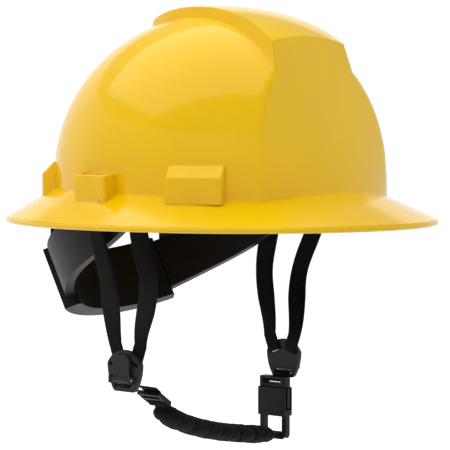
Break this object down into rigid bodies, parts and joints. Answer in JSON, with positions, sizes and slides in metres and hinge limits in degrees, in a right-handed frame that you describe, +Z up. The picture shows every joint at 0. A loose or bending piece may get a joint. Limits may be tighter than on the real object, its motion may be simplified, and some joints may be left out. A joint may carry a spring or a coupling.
{
  "type": "full brim hard hat",
  "caption": "Full brim safety helmet with a ridged crown, ratchet headband, crown webbing and a four point chin harness.",
  "frame": {"origin": "middle of the headband's opening, level with the brim's lower edge", "axes": "+Z up along the wearer's head, -Y the way the wearer faces, +X the wearer's left"},
  "size_m": [0.274, 0.316, 0.3126],
  "materials": {
    "black_fabric": "gathered knit",
    "black_webbing": "woven",
    "brow_fabric": "knit",
    "dark_plastic": "satin moulded",
    "grey_plastic": "satin moulded",
    "grey_webbing": "woven",
    "steel": "bright",
    "yellow_plastic": "glossy moulded"
  },
  "bodies": {
    "root": {"shell": "yellow_plastic", "headband": "dark_plastic", "brow_pad": "brow_fabric", "front_left_lug": "dark_plastic", "front_right_lug": "dark_plastic", "rear_left_lug": "dark_plastic", "rear_right_lug": "dark_plastic", "crown_web_left_front": "black_webbing", "crown_web_right_front": "black_webbing", "left_nape_arm": "dark_plastic", "right_nape_arm": "dark_plastic", "left_temple_stud": "dark_plastic", "right_temple_stud": "dark_plastic", "ratchet_housing": "dark_plastic", "ratchet_cover": "dark_plastic", "left_hang_strap": "grey_webbing", "right_hang_strap": "grey_webbing", "left_harness_hanger": "dark_plastic", "right_harness_hanger": "dark_plastic", "right_glider": "grey_plastic", "left_glider": "grey_plastic", "right_lever_pin": "steel", "left_lever_pin": "steel", "right_front_strap": "black_webbing", "right_rear_strap": "black_webbing", "left_front_strap": "black_webbing", "left_rear_strap": "black_webbing", "right_drop_strap": "black_webbing", "strap_adjuster": "dark_plastic", "left_drop_strap": "black_webbing", "buckle_male": "dark_plastic"},
    "ratchet": {"ratchet_knob": "dark_plastic", "pinion": "dark_plastic", "knob_screw": "steel"},
    "left_tail": {"left_tail": "dark_plastic"},
    "right_tail": {"right_tail": "dark_plastic"},
    "right_lever": {"right_glider_lever": "grey_plastic"},
    "left_lever": {"left_glider_lever": "grey_plastic"},
    "chin": {"buckle_female": "dark_plastic", "chin_strap": "black_webbing", "chin_pad": "black_fabric"},
    "front_prong": {"front_buckle_prong": "dark_plastic"},
    "rear_prong": {"rear_buckle_prong": "dark_plastic"}
  },
  "joints": [
    {"name": "ratchet_turn", "type": "hinge", "parent": "root", "child": "ratchet", "pos_m": [0, 0.12018, -0.04583], "axis": [0, -0.8829, 0.4695], "range_deg": [0, 280.7]},
    {"name": "left_tail_slide", "type": "hinge", "parent": "root", "child": "left_tail", "pos_m": [0, 0.04071, -0.00358], "axis": [0, 0.4695, 0.8829], "range_deg": [0, 26]},
    {"name": "right_tail_slide", "type": "hinge", "parent": "root", "child": "right_tail", "pos_m": [0, 0.04071, -0.00358], "axis": [0, 0.4695, 0.8829], "range_deg": [-26, 0]},
    {"name": "right_lever_lift", "type": "hinge", "parent": "root", "child": "right_lever", "pos_m": [-0.09018, 0.01, -0.102], "axis": [0, -1, 0], "range_deg": [0, 70]},
    {"name": "left_lever_lift", "type": "hinge", "parent": "root", "child": "left_lever", "pos_m": [0.09018, 0.01, -0.1085], "axis": [0, 1, 0], "range_deg": [0, 70]},
    {"name": "chin_swing", "type": "hinge", "parent": "root", "child": "chin", "pos_m": [-0.052, 0.01, -0.121], "axis": [0, 1, 0], "range_deg": [0, 75]},
    {"name": "front_prong_press", "type": "slide", "parent": "root", "child": "front_prong", "axis": [0, 1, 0], "range_m": [0, 0.002], "stiffness_N_per_m": 1500},
    {"name": "rear_prong_press", "type": "slide", "parent": "root", "child": "rear_prong", "axis": [0, -1, 0], "range_m": [0, 0.002], "stiffness_N_per_m": 1500}
  ],
  "couplings": [
    {"joint": "left_tail_slide", "follows": "ratchet_turn", "ratio": 0.092593},
    {"joint": "right_tail_slide", "follows": "ratchet_turn", "ratio": -0.092593}
  ]
}
